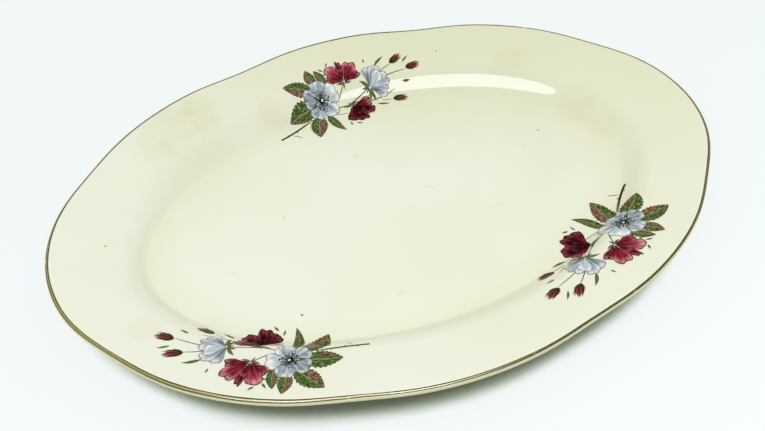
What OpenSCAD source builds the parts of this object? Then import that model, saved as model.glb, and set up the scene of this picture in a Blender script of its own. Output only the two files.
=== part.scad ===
// Oval serving platter with a lobed rim, a gilt lip line and three printed flower sprays.
// Millimetres, +Z up. The foot ring stands on z = 0 and the oval is centred on the origin,
// with its long axis along X.

/* [Oval] */
// Length of the platter, lip to lip along the long axis
platter_l = 356; // [330:1:400]
// Width of the platter, lip to lip across the middle
platter_w = 254; // [240:1:280]
// Squareness of the oval: 2 is an ellipse, less is leaner, more is fuller
oval_power = 1.95; // [1.85:0.01:2.3]

/* [Heights] */
// Height of the lip at the middle of a long side
lip_h = 28; // [25:0.5:34]
// How much higher the lip stands at the two ends
end_rise = 1.1; // [0:0.1:3]
// Height of the foot ring below the underside of the well floor
foot_h = 3; // [1.5:0.1:5]
// Thickness of the well floor
floor_t = 4.6; // [3.5:0.1:6]
// Depth of the slight dish in the well floor at its centre
floor_dish = 0.5; // [0:0.1:1]

/* [Rim and well] */
// Width of the sloping rim, from the lip to the shoulder of the well
rim_w = 26.5; // [20:0.5:34]
// How far the rim falls from the lip to the shoulder
rim_drop = 8; // [5:0.1:10]
// Width of the curved side between the shoulder and the flat well floor
side_w = 18.5; // [14:0.5:26]
// How far the steepest part of that side is shifted towards the well, 1 for its middle
side_skew_power = 1.4; // [1:0.05:1.8]
// Thickness of the rim, also of the rounded lip
rim_t = 4; // [3:0.1:5]

/* [Foot ring] */
// How far outside the well floor's edge the foot ring stands
foot_out = 3; // [1:0.1:4]
// Width of the flat that the platter stands on
foot_w = 3.6; // [2:0.1:5]
// How far each side of the foot ring leans
foot_lean = 1.4; // [0.5:0.1:2]

/* [Lobes] */
// Depth of the dents beside the middle lobe of each long side
side_dent = 2.2; // [0:0.1:4]
// Place of those dents, in degrees from the middle of the side
side_dent_angle = 19.4; // [15:0.1:25]
// Half width of those dents, in degrees
side_dent_spread_angle = 8.4; // [6:0.1:10]
// How much the lip dips at those dents
side_dent_drop = 1.1; // [0:0.1:2]
// Depth of the dents beside the wide lobe at each end
end_dent = 2.1; // [0:0.1:4]
// Place of those dents, in degrees from the middle of the side
end_dent_angle = 60.2; // [54:0.1:66]
// Half width of those dents, in degrees
end_dent_spread_angle = 10.3; // [7:0.1:12]
// How much the lip dips at those dents
end_dent_drop = 0.3; // [0:0.1:2]

/* [Gilt line] */
// Thickness of the gilt line on the lip
gilt_t = 0.15; // [0.1:0.01:0.3]

/* [Flower sprays] */
// Length of each printed spray, from twig end to the last bud
spray_l = 98; // [80:1:105]
// Thickness of one printed colour
ink_t = 0.1; // [0.05:0.01:0.2]
// Gap left between one printed colour and the next
ink_gap = 0.1; // [0.06:0.01:0.15]
// Gap left between the glaze and the first colour
print_lift = 0.2; // [0.1:0.01:0.3]
// Distance from the lip to the middle of the back spray
back_spray_inset = 41; // [36:0.5:46]
// Distance from the lip to the middle of the right spray
right_spray_inset = 36; // [32:0.5:44]
// Distance from the lip to the middle of the front spray
front_spray_inset = 31; // [29:0.5:42]

/* [Hidden] */

// Counts: sections round the oval, steps along each curve of the section
sections = 108;
section_angle = 360 / sections;
nose_steps = 6;
gilt_steps = 2;
rim_steps = 3;
curve_steps = 8;
under_steps = 12;
floor_rings = 3;

// Derived sizes of the section, measured inward from the lip (s) and up from the table (z)
lip_r = rim_t / 2;
well_h = foot_h + floor_t;
edge_s = rim_w + side_w;
rim_slope = rim_drop / rim_w;
rim_lean = atan(rim_slope);
nose_z = lip_h - lip_r;
shoulder_z = nose_z + lip_r / cos(rim_lean) - rim_slope * (rim_w - lip_r);

// Angles of the three sprays round the oval, and how far each is turned from the way round
back_angle = 89;
back_turn_angle = 9;
right_angle = 307.5;
right_turn_angle = 6;
front_angle = 232;
front_turn_angle = 0;
back_place = [back_angle, back_spray_inset, back_turn_angle];
right_place = [right_angle, right_spray_inset, right_turn_angle];
front_place = [front_angle, front_spray_inset, front_turn_angle];
// Angle over which a spray's place is probed for its direction and the surface for its slope
probe_angle = 0.01;
search_steps = 5;

// Colours
cream = "#ecebd6";
gilt = "#a08a45";
twig_brown = "#7d5a3c";
leaf_green = "#66703f";
crimson = "#98303f";
pale_blue = "#a9b4c2";
heart_dark = "#33302f";

// Oval outline
// Signed power, which keeps an oval's four quarters alike
function spow(v, p) = sign(v) * pow(abs(v), p);
// Point of an oval with half sizes h at angle t
function oval(h, t) = [h.x * spow(cos(t), 2 / oval_power), h.y * spow(sin(t), 2 / oval_power)];
// Outward normal of that oval at angle t
function oval_normal(h, t) =
    let (n = [spow(cos(t), 2 - 2 / oval_power) / h.x, spow(sin(t), 2 - 2 / oval_power) / h.y])
    n / norm(n);
lip_half = [platter_l, platter_w] / 2;
well_half = lip_half - [edge_s, edge_s];

// Angle between t and the middle of the nearer long side
function from_side(t) = let (q = (t + 360) % 180) 90 - (q > 90 ? 180 - q : q);
function bell(v, middle, spread) = exp(-pow((v - middle) / spread, 2));
function side_bell(t) = bell(from_side(t), side_dent_angle, side_dent_spread_angle);
function end_bell(t) = bell(from_side(t), end_dent_angle, end_dent_spread_angle);
// Lobed lip outline, and how far the lip stands over lip_h
function lip_point(t) =
    oval(lip_half, t) - oval_normal(lip_half, t) * (side_dent * side_bell(t) + end_dent * end_bell(t));
function lip_rise(t) =
    end_rise * pow(cos(t), 2) - side_dent_drop * side_bell(t) - end_dent_drop * end_bell(t);

// Loft from the lobed lip to the plain oval of the well
// Plan point at angle t and distance s in from the lip: past the well's edge it runs square to it
function plan(t, s) =
    s < edge_s
        ? lip_point(t) * (1 - s / edge_s) + oval(well_half, t) * s / edge_s
        : oval(well_half, t) - oval_normal(well_half, t) * (s - edge_s);
// Share of the lip's rise and fall that is left at distance s
function fade(s) = pow(max(0, 1 - s / edge_s), 2);
// Section point p = [s, z] set at angle t
function place(t, p) = let (q = plan(t, p[0])) [q.x, q.y, p[1] + lip_rise(t) * fade(p[0])];

// Section
// Height and slope of the curved side between shoulder and floor, u from 0 to 1 across side_w
function curve_z(u) =
    let (v = pow(u, side_skew_power))
    shoulder_z + (well_h - shoulder_z) * (3 * pow(v, 2) - 2 * pow(v, 3))
    - rim_slope * side_w * (pow(u, 3) - 2 * pow(u, 2) + u);
function curve_slope(u) =
    let (v = pow(u, side_skew_power), v_slope = side_skew_power * pow(u, side_skew_power - 1))
    (well_h - shoulder_z) / side_w * (6 * v - 6 * pow(v, 2)) * v_slope
    - rim_slope * (3 * pow(u, 2) - 4 * u + 1);
// Height of the upper side at distance s, without the lip's rise
function upper_z(s) =
    s < rim_w ? shoulder_z + rim_slope * (rim_w - s)
    : s < edge_s ? curve_z((s - rim_w) / side_w)
    : well_h;
// Thickness grows from the lip to the well floor
function body_t(s) = rim_t + (floor_t - rim_t) * min(1, s / edge_s);
// Point of the rounded lip, r from its centre, k steps over from the upper side
function nose(k, r) =
    let (a = 90 + rim_lean - 180 * k / nose_steps)
    [lip_r - r * cos(a), nose_z + r * sin(a)];
nose_side = [for (k = [0 : nose_steps]) nose(k, lip_r)];
rim_start = nose_side[0][0];
rim_run = rim_w - rim_start;
rim_side = [for (k = [1 : rim_steps]) let (s = rim_start + rim_run * k / rim_steps) [s, upper_z(s)]];
// Steps across the curved side are closer where it is steeper
curve_side =
    [for (k = [1 : curve_steps])
        let (u = pow(k / curve_steps, 1 / side_skew_power)) [rim_w + side_w * u, curve_z(u)]];
// Underside point square below the upper side at distance s
function under(s) =
    let (slope = s < rim_w ? -rim_slope : curve_slope((s - rim_w) / side_w), a = atan(slope))
    [s + body_t(s) * sin(a), upper_z(s) - body_t(s) * cos(a)];
foot_outer = edge_s - foot_out;
foot_inner = foot_outer + foot_w;
under_rim = [for (p = rim_side) under(p[0])];
under_curve = [for (k = [1 : under_steps]) under(rim_w + side_w * k / under_steps)];
under_side = concat(under_rim, [for (q = under_curve) if (q[0] < foot_outer - foot_lean) q]);
foot_side = [
    [foot_outer, 0],
    [foot_inner, 0],
    [foot_inner + foot_lean, foot_h],
];
// The section as rings, from the edge of the upper well floor over the lip to the edge of the underside
function backwards(v) = [for (k = [len(v) - 1 : -1 : 0]) v[k]];
section = concat(backwards(curve_side), backwards(rim_side), nose_side, under_side, foot_side);

// Rings and skins
function angle(k) = section_angle * k;
function ring(p) = [for (k = [0 : sections - 1]) place(angle(k), p)];
// Ring of the well floor, at share q of the way from its centre to its edge
function dish(q) = floor_dish * (1 - pow(q, 2));
function floor_ring(q) =
    [for (k = [0 : sections - 1]) let (p = oval(well_half, angle(k)) * q) [p.x, p.y, well_h - dish(q)]];
function flat(v) = [for (r = v) each r];
// Triangles between ring j and the next, both with n points, the second one given by its number
function band(j, next, n) =
    [for (k = [0 : n - 1])
        let (a = j * n + k, b = j * n + (k + 1) % n, c = next * n + (k + 1) % n, d = next * n + k)
        each [[a, b, c], [a, c, d]]];

// Fired earthenware body: well, rim, rounded lip, underside and foot ring in one skin
module platter_body() {
    inside = [for (k = [1 : floor_rings - 1]) floor_ring(k / floor_rings)];
    rings = concat(inside, [for (p = section) ring(p)]);
    last = len(rings) - 1;
    middle = len(rings) * sections;
    ends = [[0, 0, well_h - dish(0)], [0, 0, foot_h]];
    faces = concat(
        [for (k = [0 : sections - 1]) [middle, (k + 1) % sections, k]],
        [for (j = [0 : last - 1]) each band(j, j + 1, sections)],
        [for (k = [0 : sections - 1]) [middle + 1, last * sections + k, last * sections + (k + 1) % sections]]
    );
    color(cream)
        polyhedron(points = concat(flat(rings), ends), faces = faces);
}

// Gilt line: a band over the upper and outer part of the rounded lip
module gilt_lip_line() {
    outer = [for (k = [0 : gilt_steps]) nose(k, lip_r + gilt_t)];
    inner = [for (k = [gilt_steps : -1 : 0]) nose(k, lip_r)];
    loop = concat(outer, inner);
    faces = [for (j = [0 : len(loop) - 1]) each band(j, (j + 1) % len(loop), sections)];
    color(gilt)
        polyhedron(points = flat([for (p = loop) ring(p)]), faces = faces);
}

// Prints that lie on the glaze
// Angle and distance from the lip of plan point p, found by steps from a first guess
function locate(p, t, s, steps) =
    steps == 0 ? [t, s] :
    let (
        q = plan(t, s),
        e = p - q,
        along = (plan(t + probe_angle, s) - q) / probe_angle,
        across = (oval(well_half, t) - lip_point(t)) / edge_s,
        d = along.x * across.y - along.y * across.x
    )
    locate(p, t + (e.x * across.y - e.y * across.x) / d, s + (along.x * e.y - along.y * e.x) / d, steps - 1);
// Height of the glaze over plan point p, near angle t
function reach(p) = pow(pow(abs(p.x) / well_half.x, oval_power) + pow(abs(p.y) / well_half.y, oval_power),
    1 / oval_power);
function glaze_z(p, t) =
    reach(p) <= 1 ? well_h - dish(reach(p)) :
    let (f = locate(p, t, edge_s / 2, search_steps)) upper_z(f[1]) + lip_rise(f[0]) * fade(f[1]);

// Point w of a spray, in shares of its length along and across it, set on the platter
function spray_plan(spot, w) =
    let (
        middle = plan(spot[0], spot[1]),
        way = plan(spot[0] - probe_angle, spot[1]) - middle,
        a = atan2(way.y, way.x) + spot[2]
    )
    middle + spray_l * [w[0] * cos(a) - w[1] * sin(a), w[0] * sin(a) + w[1] * cos(a)];
function printed(spot, w, lift) =
    let (p = spray_plan(spot, w)) [p.x, p.y, glaze_z(p, spot[0]) + lift];

// A print is a strip with a spine: stations [along, half width], three points at each
function strip(from, turn, bend, stations) =
    let (size = stations[len(stations) - 1][0])
    [for (q = stations)
        let (
            a = turn + bend * q[0] / size,
            m = from + q[0] * [cos((turn + a) / 2), sin((turn + a) / 2)],
            side = q[1] * [-sin(a), cos(a)]
        )
        each [m - side, m, m + side]];
// Triangles of a strip of n stations whose points start at number o: lower skin, upper skin and edges
function strip_faces(n, o) =
    let (
        size = 3 * n,
        cells = [for (i = [0 : n - 2]) for (j = [0 : 1]) let (k = 3 * i + j) [k, k + 1, k + 4, k + 3]],
        edge = concat(
            [for (i = [0 : n - 1]) 3 * i], [size - 2], [for (i = [n - 1 : -1 : 0]) 3 * i + 2], [1]
        )
    )
    concat(
        [for (c = cells) each [[o + c[2], o + c[1], o + c[0]], [o + c[3], o + c[2], o + c[0]]]],
        [for (c = cells)
            let (u = o + size)
            each [[u + c[0], u + c[1], u + c[2]], [u + c[0], u + c[2], u + c[3]]]],
        [for (k = [0 : len(edge) - 1])
            let (a = o + edge[k], b = o + edge[(k + 1) % len(edge)])
            each [[a, b + size, b], [a, a + size, b + size]]]
    );
// All the strips of one colour, as one set of closed skins at the height of its layer
module print_strips(spot, layer, strips) {
    low = print_lift + layer * (ink_t + ink_gap);
    starts = [for (k = 0, o = 0; k < len(strips); o = o + 2 * len(strips[k]), k = k + 1) o];
    points = [for (v = strips) each concat(
        [for (w = v) printed(spot, w, low)],
        [for (w = v) printed(spot, w, low + ink_t)]
    )];
    faces = [for (k = [0 : len(strips) - 1]) each strip_faces(len(strips[k]) / 3, starts[k])];
    polyhedron(points = points, faces = faces);
}

// Shapes of petals, leaves, buds and stems: stations in shares of their own length
petal_shares = [[0.14, 0.09], [0.45, 0.3], [0.78, 0.38], [1, 0.16]];
narrow_petal_shares = [[0.24, 0.05], [0.55, 0.155], [0.85, 0.2], [1, 0.06]];
leaf_shares = [[0, 0.02], [0.25, 0.2], [0.5, 0.25], [0.78, 0.15], [1, 0.01]];
blade_shares = [[0, 0.02], [0.35, 0.1], [0.7, 0.08], [1, 0.01]];
bud_shares = [[0, 0.06], [0.45, 0.24], [1, 0.03]];
stem_width_share = 0.006;
stem_shares = [0, 0.2, 0.4, 0.6, 0.8, 1];
heart_shares = [[-1, 0.35], [-0.4, 0.95], [0.4, 0.95], [1, 0.35]];
function scaled(shares, size) = [for (q = shares) q * size];
function petal(from, turn, size) = strip(from, turn, 0, scaled(petal_shares, size));
function narrow_petal(from, turn, size) = strip(from, turn, 0, scaled(narrow_petal_shares, size));
function leaf(from, turn, bend, size) = strip(from, turn, bend, scaled(leaf_shares, size));
function blade(from, turn, bend, size) = strip(from, turn, bend, scaled(blade_shares, size));
function bud(from, turn, size) = strip(from, turn, 0, scaled(bud_shares, size));
function stem(from, turn, bend, size) =
    strip(from, turn, bend, [for (q = stem_shares) [q * size, stem_width_share]]);
function heart(from, size) = strip(from, 0, 0, scaled(heart_shares, size));
// Open bloom of five petals, and a bloom seen from the side: its petals as [turn, length]
open_petal_count = 5;
open_petal_angle = 360 / open_petal_count;
function open_bloom(from, turn, size) =
    [for (k = [0 : open_petal_count - 1]) petal(from, turn + open_petal_angle * k, size)];
function side_bloom(from, petals) = [for (q = petals) narrow_petal(from, q[0], q[1])];

// Layout of a spray, in shares of its length: its middle is [0, 0], +x runs to the buds, +y to the lip
blue_open_share = [-0.16, 0.045];
crimson_high_share = [0.015, 0.08];
crimson_low_share = [0, -0.035];
blue_side_share = [0.15, 0];
twigs = [
    stem([-0.5, -0.1], 10, 14, 0.22),
    stem([-0.42, -0.1], -36, -20, 0.06),
    stem([0.03, -0.01], 4, 4, 0.11),
    stem([0.16, -0.055], -10, 14, 0.14),
    stem([0.28, 0.06], 20, -10, 0.055),
    stem([0.29, 0.015], -2, -12, 0.12),
    stem([0.2, -0.08], -20, 0, 0.06),
];
leaves = [
    leaf([-0.22, 0.13], 142, 14, 0.14),
    leaf([-0.17, 0.175], 100, -12, 0.1),
    leaf([-0.25, 0.02], 186, 12, 0.15),
    leaf([-0.235, -0.06], 240, 16, 0.14),
    blade([-0.16, -0.065], 268, 34, 0.15),
    leaf([-0.1, 0.135], 96, 14, 0.09),
    blade([0.24, 0.1], 40, -30, 0.09),
    blade([0.16, -0.09], -40, 24, 0.09),
    blade([0.41, 0.045], 36, -20, 0.07),
    blade([0.36, -0.05], -30, 20, 0.07),
];
crimsons = concat(
    side_bloom(crimson_high_share, [[146, 0.105], [114, 0.14], [82, 0.135], [49, 0.14], [16, 0.11]]),
    side_bloom(crimson_low_share, [[-108, 0.13], [-75, 0.15], [-42, 0.15], [-9, 0.13]]),
    [
        bud([0.335, 0.075], 16, 0.1),
        bud([0.265, -0.1], -24, 0.1),
        bud([0.41, 0], -8, 0.09),
    ]
);
blues = concat(
    open_bloom(blue_open_share, 14, 0.12),
    side_bloom(blue_side_share, [[72, 0.12], [40, 0.135], [8, 0.135], [-24, 0.12]])
);
hearts = [heart(blue_open_share, 0.018)];

// Printing order: twigs first, then leaves, then the blooms of both colours, then their hearts
twig_layer_index = 0;
leaf_layer_index = 1;
bloom_layer_index = 2;
heart_layer_index = 3;
module spray_twigs(spot) { color(twig_brown) print_strips(spot, twig_layer_index, twigs); }
module spray_leaves(spot) { color(leaf_green) print_strips(spot, leaf_layer_index, leaves); }
module spray_crimson(spot) { color(crimson) print_strips(spot, bloom_layer_index, crimsons); }
module spray_blue(spot) { color(pale_blue) print_strips(spot, bloom_layer_index, blues); }
module spray_hearts(spot) { color(heart_dark) print_strips(spot, heart_layer_index, hearts); }

platter_body();
gilt_lip_line();
spray_twigs(back_place);  // back_spray_twigs
spray_leaves(back_place);  // back_spray_leaves
spray_crimson(back_place);  // back_spray_crimson
spray_blue(back_place);  // back_spray_blue
spray_hearts(back_place);  // back_spray_hearts
spray_twigs(right_place);  // right_spray_twigs
spray_leaves(right_place);  // right_spray_leaves
spray_crimson(right_place);  // right_spray_crimson
spray_blue(right_place);  // right_spray_blue
spray_hearts(right_place);  // right_spray_hearts
spray_twigs(front_place);  // front_spray_twigs
spray_leaves(front_place);  // front_spray_leaves
spray_crimson(front_place);  // front_spray_crimson
spray_blue(front_place);  // front_spray_blue
spray_hearts(front_place);  // front_spray_hearts
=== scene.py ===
"""Oval serving platter with a lobed rim, a gilt lip and three printed flower sprays.

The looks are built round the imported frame, in metres with +Z up. Sizes of the platter
are written in millimetres and places on a spray in shares of the spray's length.
"""

import bpy
import numpy as np
from mathutils import Matrix, Vector


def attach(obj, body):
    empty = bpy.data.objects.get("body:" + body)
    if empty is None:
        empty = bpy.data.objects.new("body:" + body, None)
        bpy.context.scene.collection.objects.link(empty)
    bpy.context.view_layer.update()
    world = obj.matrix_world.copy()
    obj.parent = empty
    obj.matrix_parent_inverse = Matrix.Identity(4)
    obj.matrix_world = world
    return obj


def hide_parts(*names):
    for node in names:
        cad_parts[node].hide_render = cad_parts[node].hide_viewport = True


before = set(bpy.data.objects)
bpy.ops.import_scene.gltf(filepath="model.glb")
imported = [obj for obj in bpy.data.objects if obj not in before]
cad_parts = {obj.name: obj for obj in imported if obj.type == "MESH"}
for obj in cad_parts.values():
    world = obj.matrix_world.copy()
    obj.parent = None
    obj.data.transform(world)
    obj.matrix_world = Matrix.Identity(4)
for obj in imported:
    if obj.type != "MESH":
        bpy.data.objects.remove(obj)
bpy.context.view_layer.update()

MM = 0.001

# Driving sizes of the platter, in millimetres
PLATTER_L = 355.85
PLATTER_W = 253.85
OVAL_POWER = 1.95
LIP_H = 28.0
END_RISE = 1.1
FOOT_H = 3.0
FLOOR_T = 4.6
FLOOR_DISH = 0.5
RIM_W = 26.5
RIM_DROP = 8.0
SIDE_W = 18.5
SIDE_SKEW = 1.4
RIM_T = 4.0
FOOT_OUT = 3.0
FOOT_W = 3.6
FOOT_LEAN = 1.4
FOOT_ROUND = 0.7
SIDE_DENT = 2.2
SIDE_DENT_ANGLE = 19.4
SIDE_DENT_SPREAD = 8.4
SIDE_DENT_DROP = 1.1
END_DENT = 2.1
END_DENT_ANGLE = 60.2
END_DENT_SPREAD = 10.3
END_DENT_DROP = 0.3

LIP_R = RIM_T / 2
WELL_H = FOOT_H + FLOOR_T
EDGE_S = RIM_W + SIDE_W
RIM_SLOPE = RIM_DROP / RIM_W
RIM_LEAN = np.degrees(np.arctan(RIM_SLOPE))
NOSE_Z = LIP_H - LIP_R
SHOULDER_Z = NOSE_Z + LIP_R / np.cos(np.radians(RIM_LEAN)) - RIM_SLOPE * (RIM_W - LIP_R)
LIP_HALF = np.array([PLATTER_L, PLATTER_W]) / 2
WELL_HALF = LIP_HALF - EDGE_S
RIM_START = LIP_R - LIP_R * np.cos(np.radians(90 + RIM_LEAN))

# Steps of the fine body mesh
SECTIONS = 480
FLOOR_STEPS = 12
CURVE_STEPS = 30
RIM_STEPS = 16
NOSE_STEPS = 18
FILLET_STEPS = 5
UNDERSIDE_STEPS = 6

# Gilt line: its thickness and steps, and the size and turns of its edges' hand-laid drift
GILT_T = 0.04
GILT_SECTIONS = 960
GILT_STEPS = 10
GILT_DRIFT = 0.1
DRIFT_TURNS = (3, 7, 13, 29, 61)
# Inner and outer edge: place along the skin, seed, and swells of size, angle and spread
GILT_INNER = (0.5, 3, ((0.65, 295, 42), (-0.25, 90, 55)))
GILT_OUTER = (2.15, 5, ((0.45, 222, 34), (0.3, 335, 30)))
# Angle and spread of the stretches where the gold has a painted highlight, where it has painted shade,
# and where it is rubbed through along its middle, which also paints a pale stripe of reflection there
GILT_STRETCHES = {"painted_highlight": (206, 22), "painted_shade": (296, 44), "rubbed_and_sheen": (249, 17)}

# Printed films: length of a spray, height of its first film over the glaze, and a film's thickness
SPRAY_L = 98.0
PRINT_LIFT = 0.02
FILM_T = 0.01
FILM_PITCH = 1.5 * FILM_T

# Step in degrees over which a direction is probed, and the steps of the search for a place on the
# glaze, which may go that far past the lip, in millimetres
PROBE = 0.01
SEARCH_STEPS = 6
SEARCH_MARGIN = 5


# Section of the platter
def spow(v, p):
    """Signed power, which keeps an oval's four quarters alike."""
    return np.sign(v) * np.abs(v) ** p


def oval(half, t):
    """Points at angles t, in degrees, of an oval with those half sizes."""
    a = np.radians(t)
    x = half[0] * spow(np.cos(a), 2 / OVAL_POWER)
    y = half[1] * spow(np.sin(a), 2 / OVAL_POWER)
    return np.stack([x, y], -1)


def oval_normal(half, t):
    a = np.radians(t)
    x = spow(np.cos(a), 2 - 2 / OVAL_POWER) / half[0]
    y = spow(np.sin(a), 2 - 2 / OVAL_POWER) / half[1]
    n = np.stack([x, y], -1)
    return n / np.linalg.norm(n, axis=-1, keepdims=True)


def from_side(t):
    """Angle between t and the middle of the nearer long side."""
    q = np.mod(t, 180)
    return 90 - np.where(q > 90, 180 - q, q)


def bell(v, middle, spread):
    return np.exp(-(((v - middle) / spread) ** 2))


def lobes(t, side_size, end_size):
    """Sum of the dents beside the long sides' middle lobes and beside the end lobes, at those sizes."""
    side = side_size * bell(from_side(t), SIDE_DENT_ANGLE, SIDE_DENT_SPREAD)
    return side + end_size * bell(from_side(t), END_DENT_ANGLE, END_DENT_SPREAD)


def lip_point(t):
    return oval(LIP_HALF, t) - oval_normal(LIP_HALF, t) * lobes(t, SIDE_DENT, END_DENT)[..., None]


def lip_rise(t):
    """How far the lip stands over its height at the middle of a long side."""
    return END_RISE * np.cos(np.radians(t)) ** 2 - lobes(t, SIDE_DENT_DROP, END_DENT_DROP)


def plan(t, s):
    """Plan points at angles t and distances s in from the lip."""
    t, s = np.broadcast_arrays(np.asarray(t, float), np.asarray(s, float))
    q = (s / EDGE_S)[..., None]
    loft = lip_point(t) * (1 - q) + oval(WELL_HALF, t) * q
    floor = oval(WELL_HALF, t) - oval_normal(WELL_HALF, t) * (s - EDGE_S)[..., None]
    return np.where(q < 1, loft, floor)


def fade(s):
    """Share of the lip's rise and fall that is left at distance s."""
    return np.maximum(0, 1 - s / EDGE_S) ** 2


def place(t, s, z):
    """Section points [s, z] set at angles t."""
    p = plan(t, s)
    height = z + lip_rise(t) * fade(np.asarray(s, float))
    return np.concatenate([p, np.broadcast_to(height, p.shape[:-1])[..., None]], -1)


def curve_z(u):
    """Height of the curved side, u from 0 at the shoulder to 1 at the well, steepest past its middle."""
    v = u**SIDE_SKEW
    lead = RIM_SLOPE * SIDE_W * (u**3 - 2 * u**2 + u)
    return SHOULDER_Z + (WELL_H - SHOULDER_Z) * (3 * v**2 - 2 * v**3) - lead


def curve_slope(u):
    fall = SIDE_SKEW * u ** (SIDE_SKEW - 1) * (6 * u**SIDE_SKEW - 6 * u ** (2 * SIDE_SKEW))
    return (WELL_H - SHOULDER_Z) / SIDE_W * fall - RIM_SLOPE * (3 * u**2 - 4 * u + 1)


def upper_z(s):
    """Height of the upper side at distance s, without the lip's rise."""
    u = np.clip((s - RIM_W) / SIDE_W, 0, 1)
    return np.where(s < RIM_W, SHOULDER_Z + RIM_SLOPE * (RIM_W - s), curve_z(u))


def dish(q):
    """Depth of the well floor at share q of the way from its centre to its edge."""
    return FLOOR_DISH * (1 - q**2)


def nose(angle, r):
    """Points of the rounded lip, r from its centre; angle 90 is its top."""
    a = np.radians(angle)
    return np.stack([LIP_R - r * np.cos(a), NOSE_Z + r * np.sin(a)], -1)


def under(s):
    """Underside points square below the upper side at distances s."""
    slope = np.where(s < RIM_W, -RIM_SLOPE, curve_slope(np.clip((s - RIM_W) / SIDE_W, 0, 1)))
    a = np.arctan(slope)
    t = RIM_T + (FLOOR_T - RIM_T) * np.minimum(1, s / EDGE_S)
    return np.stack([s + t * np.sin(a), upper_z(s) - t * np.cos(a)], -1)


def rounded(points, cut):
    """The points of a line with each inner corner rounded, cut away from it on both sides."""
    made = [points[0]]
    for a, p, b in zip(points, points[1:], points[2:]):
        start = p + (a - p) / np.linalg.norm(a - p) * cut
        end = p + (b - p) / np.linalg.norm(b - p) * cut
        for u in np.linspace(0, 1, FILLET_STEPS):
            made.append(start * (1 - u) ** 2 + p * 2 * u * (1 - u) + end * u**2)
    return np.array(made + [points[-1]])


def section_points():
    """The section from the edge of the upper well floor over the lip to the inside of the foot ring."""
    curve_s = np.linspace(EDGE_S, RIM_W, CURVE_STEPS)
    rim_s = np.linspace(RIM_W, RIM_START, RIM_STEPS)[1:]
    top = np.concatenate([curve_s, rim_s])
    lip = nose(np.linspace(90 + RIM_LEAN, RIM_LEAN - 90, NOSE_STEPS)[1:], LIP_R)
    below = under(np.concatenate([rim_s[::-1][1:], curve_s[::-1]]))
    foot_outer = EDGE_S - FOOT_OUT
    foot_inner = foot_outer + FOOT_W
    below = below[below[:, 0] < foot_outer - FOOT_LEAN]
    foot = rounded(
        [
            below[-2],
            below[-1],
            np.array([foot_outer, 0.0]),
            np.array([foot_inner, 0.0]),
            np.array([foot_inner + FOOT_LEAN, FOOT_H]),
            np.array([foot_inner + 3 * FOOT_LEAN, FOOT_H]),
        ],
        FOOT_ROUND,
    )
    return np.concatenate([np.stack([top, upper_z(top)], -1), lip, below[:-2], foot])


# Mesh helpers
def new_object(name, vertices, faces, material):
    mesh = bpy.data.meshes.new(name)
    mesh.from_pydata(np.asarray(vertices).tolist(), [], faces)
    mesh.update()
    mesh.polygons.foreach_set("use_smooth", [True] * len(mesh.polygons))
    mesh.materials.append(material)
    obj = bpy.data.objects.new(name, mesh)
    bpy.context.scene.collection.objects.link(obj)
    return obj


def set_attribute(obj, name, values):
    attribute = obj.data.attributes.new(name, "FLOAT", "POINT")
    attribute.data.foreach_set("value", np.asarray(values, np.float32))


def hoop_faces(rings, n, closed=False):
    """Quads between rings of n points, and back to the first ring if closed."""
    k = np.arange(n)
    after = (k + 1) % n
    faces = []
    for j in range(rings if closed else rings - 1):
        a = j * n
        b = (j + 1) % rings * n
        faces += np.stack([a + k, b + k, b + after, a + after], -1).tolist()
    return faces


def platter_mesh(material):
    """The whole fired body in one skin, with how far each point of the lip faces outward."""
    t = np.arange(SECTIONS) * 360 / SECTIONS
    rings = []
    for q in np.linspace(0, 1, FLOOR_STEPS)[1:-1]:
        rings.append(np.column_stack([oval(WELL_HALF, t) * q, np.full(len(t), WELL_H - dish(q))]))
    section = section_points()
    first = len(rings) * SECTIONS
    rings += [place(t, s, z) for s, z in section]
    last = rings[-1]
    for q in np.linspace(1, 0, UNDERSIDE_STEPS)[1:-1]:
        rings.append(last * [q, q, 1])
    ends = [[0, 0, WELL_H - dish(0)], [0, 0, FOOT_H]]
    vertices = np.concatenate(rings + [ends])
    centre_up = len(vertices) - 2
    centre_down = len(vertices) - 1
    faces = hoop_faces(len(rings), SECTIONS)
    below = (len(rings) - 1) * SECTIONS
    for k in range(SECTIONS):
        after = (k + 1) % SECTIONS
        faces.append([centre_up, k, after])
        faces.append([centre_down, below + after, below + k])
    obj = new_object("platter_glazed_body", vertices * MM, faces, material)
    outward = np.zeros(len(vertices))
    facing = np.clip(1 - section[:, 0] / LIP_R, 0, 1)
    outward[first : first + len(section) * SECTIONS] = np.repeat(facing, SECTIONS)
    set_attribute(obj, "outward", outward)
    return obj


def skin_point(e, r):
    """Section points at lengths e along the skin, 0 where the rim turns into the round lip, r off it."""
    a = 90 + RIM_LEAN - np.degrees(np.maximum(e, 0) / LIP_R)
    inward = np.minimum(e, 0)
    lean = np.radians(RIM_LEAN)
    return nose(a, LIP_R + r) + np.stack([-inward * np.cos(lean), inward * np.sin(lean)], -1)


def gilt_edge(t, middle, seed, swells):
    """Place along the skin of one edge of the gilt line at angles t, with its drift and its swells."""
    rng = np.random.default_rng(seed)
    edge = np.full(len(t), middle)
    for turns in DRIFT_TURNS:
        edge += GILT_DRIFT * np.sin(turns * np.radians(t) + rng.uniform(0, 2 * np.pi)) / turns**0.5
    for size, angle, spread in swells:
        edge += size * bell(t, angle, spread)
    return edge


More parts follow.
